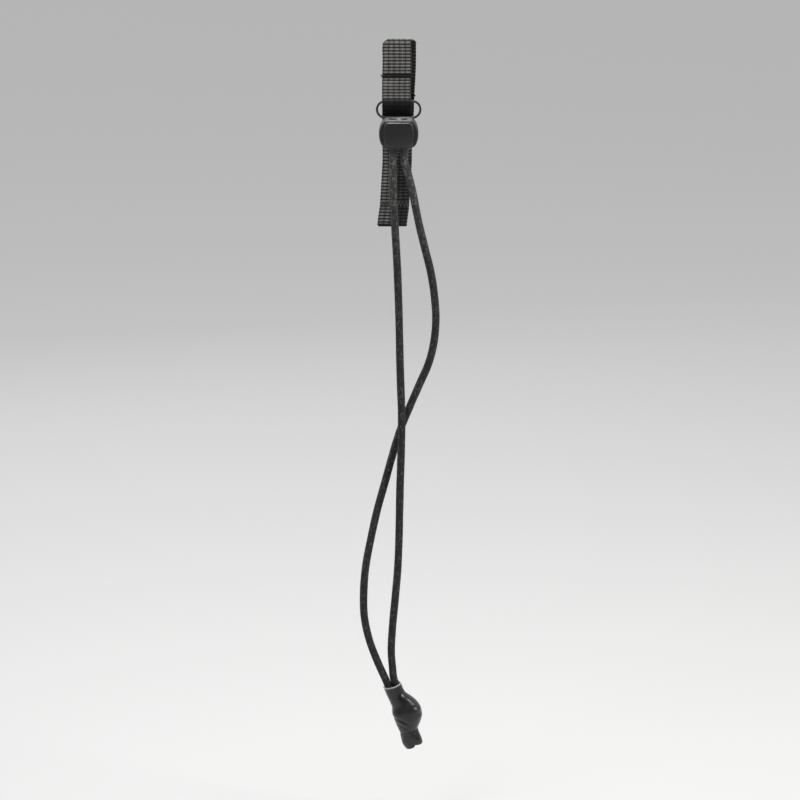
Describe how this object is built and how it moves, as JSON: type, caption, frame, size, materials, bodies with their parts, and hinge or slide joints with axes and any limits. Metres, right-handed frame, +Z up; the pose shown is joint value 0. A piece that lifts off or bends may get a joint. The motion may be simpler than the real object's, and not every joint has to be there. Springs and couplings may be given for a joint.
{
  "type": "cord lock",
  "caption": "Push-button cord lock tethered by a folded webbing pull tab, gripping two hanging cord legs that end in a knot under a shrink sleeve.",
  "frame": {"origin": "centre of the sewn area on the back of the webbing tail, on the plane that lies against the garment or bag", "axes": "+X to the right as seen from the button side, +Y into the fabric that the tail is sewn to, +Z up; the button faces -Y"},
  "size_m": [0.0308, 0.0153, 0.2774],
  "materials": {
    "webbing": "ribbed polyester webbing, matte black with dark grey highlights",
    "thread": "bonded polyester thread",
    "housing_plastic": "fine moulded texture",
    "button_plastic": "satin moulded, softly domed",
    "spring_steel": "drawn wire",
    "cord": "braided polyester, black with grey flecks",
    "shrink_tube": "semi-gloss shrunk tube"
  },
  "bodies": {
    "strap": {"webbing_strap": "webbing", "tab_stitching": "thread", "tail_bartack": "thread"},
    "lock": {"housing": "housing_plastic", "return_spring": "spring_steel"},
    "button": {"plunger": "button_plastic"},
    "cord_run": {"left_cord_run": "cord", "right_cord_run": "cord"},
    "cords": {"left_cord": "cord", "right_cord": "cord", "knot": "cord", "shrink_sleeve": "shrink_tube", "cord_tips": "cord"}
  },
  "joints": [
    {"name": "lock_swing", "type": "hinge", "parent": "strap", "child": "lock", "pos_m": [0, -0.004, 0.03707], "axis": [-1, 0, 0], "range_deg": [0, 75]},
    {"name": "button_press", "type": "slide", "parent": "lock", "child": "button", "axis": [0, 1, 0], "range_m": [0, 0.0022], "stiffness_N_per_m": 1500, "springref_m": -0.002, "deforming": ["return_spring"]},
    {"name": "cord_slide", "type": "slide", "parent": "lock", "child": "cord_run", "axis": [0, 0, -1], "range_m": [0, 0.008]},
    {"name": "cord_hang", "type": "hinge", "parent": "cord_run", "child": "cords", "pos_m": [0, -0.00985, 0.0184], "axis": [-1, 0, 0], "range_deg": [-75, 0]}
  ],
  "couplings": [
    {"joint": "cord_hang", "follows": "lock_swing", "ratio": -1}
  ]
}
